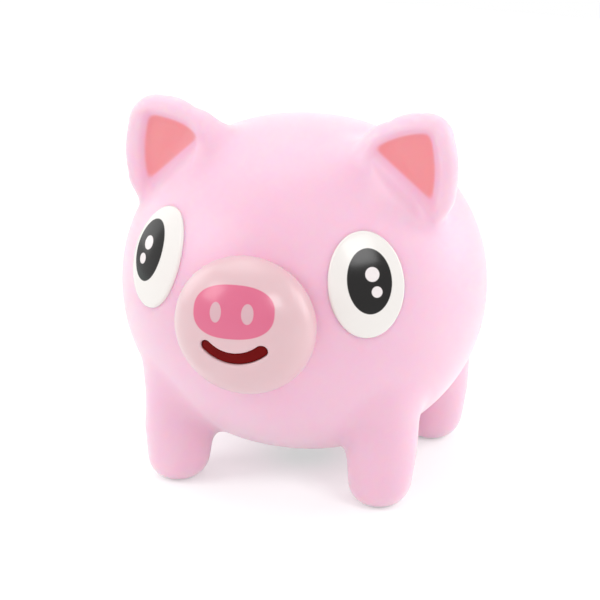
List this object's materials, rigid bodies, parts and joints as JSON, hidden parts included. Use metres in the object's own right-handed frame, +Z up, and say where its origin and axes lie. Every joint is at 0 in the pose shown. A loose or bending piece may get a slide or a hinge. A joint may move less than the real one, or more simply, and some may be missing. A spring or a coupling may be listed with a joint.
{
  "type": "squeeze pig toy",
  "caption": "Hollow soft vinyl pig toy on stubby legs; pressing its flanks drives a piston that pushes a tongue out through the smile and sounds a belly squeaker.",
  "frame": {"origin": "on the floor, midway between snout and tail and on the mirror plane", "axes": "+Z up, -Y the way the pig looks, +X the pig's own left"},
  "size_m": [0.1, 0.114, 0.105],
  "materials": {
    "pink_vinyl": "soft satin pink PVC vinyl, rotation cast",
    "eye_gloss": "glossy white plastic with a printed black pupil",
    "snout_plastic": "milky pale pink moulded plastic with a printed nose",
    "tongue_vinyl": "dark red soft vinyl",
    "white_acetal": "off-white moulded acetal",
    "seal_rubber": "black rubber",
    "spring_steel": "drawn steel"
  },
  "bodies": {
    "body": {"body_skin": "pink_vinyl", "left_eye": "eye_gloss", "right_eye": "eye_gloss", "snout_dome": "snout_plastic", "mouth_housing": "white_acetal", "barrel_end_cap": "white_acetal", "housing_screw_1": "spring_steel", "housing_screw_2": "spring_steel", "housing_screw_3": "spring_steel", "housing_screw_4": "spring_steel", "return_spring": "spring_steel", "squeaker_cup": "white_acetal", "reed_holder": "white_acetal", "reed_clip": "white_acetal"},
    "left_flank": {"left_flank": "pink_vinyl"},
    "right_flank": {"right_flank": "pink_vinyl"},
    "tongue_slide": {"tongue": "tongue_vinyl", "piston": "white_acetal", "piston_seal": "seal_rubber"},
    "reed": {"squeaker_reed": "spring_steel"}
  },
  "joints": [
    {"name": "left_squeeze", "type": "slide", "parent": "body", "child": "left_flank", "axis": [-1, 0, 0], "range_m": [0, 0.01], "stiffness_N_per_m": 150},
    {"name": "right_squeeze", "type": "slide", "parent": "body", "child": "right_flank", "axis": [1, 0, 0], "range_m": [0, 0.01], "stiffness_N_per_m": 150},
    {"name": "tongue_out", "type": "slide", "parent": "body", "child": "tongue_slide", "axis": [0, -1, 0], "range_m": [0, 0.018], "stiffness_N_per_m": 40, "deforming": ["return_spring"]},
    {"name": "reed_flutter", "type": "hinge", "parent": "body", "child": "reed", "pos_m": [0, 0.00523, 0.0162], "axis": [1, 0, 0], "range_deg": [-3, 3], "stiffness_Nm_per_rad": 0.0002}
  ],
  "couplings": [
    {"joint": "right_squeeze", "follows": "left_squeeze", "ratio": 1},
    {"joint": "tongue_out", "follows": "left_squeeze", "ratio": 1.8}
  ]
}
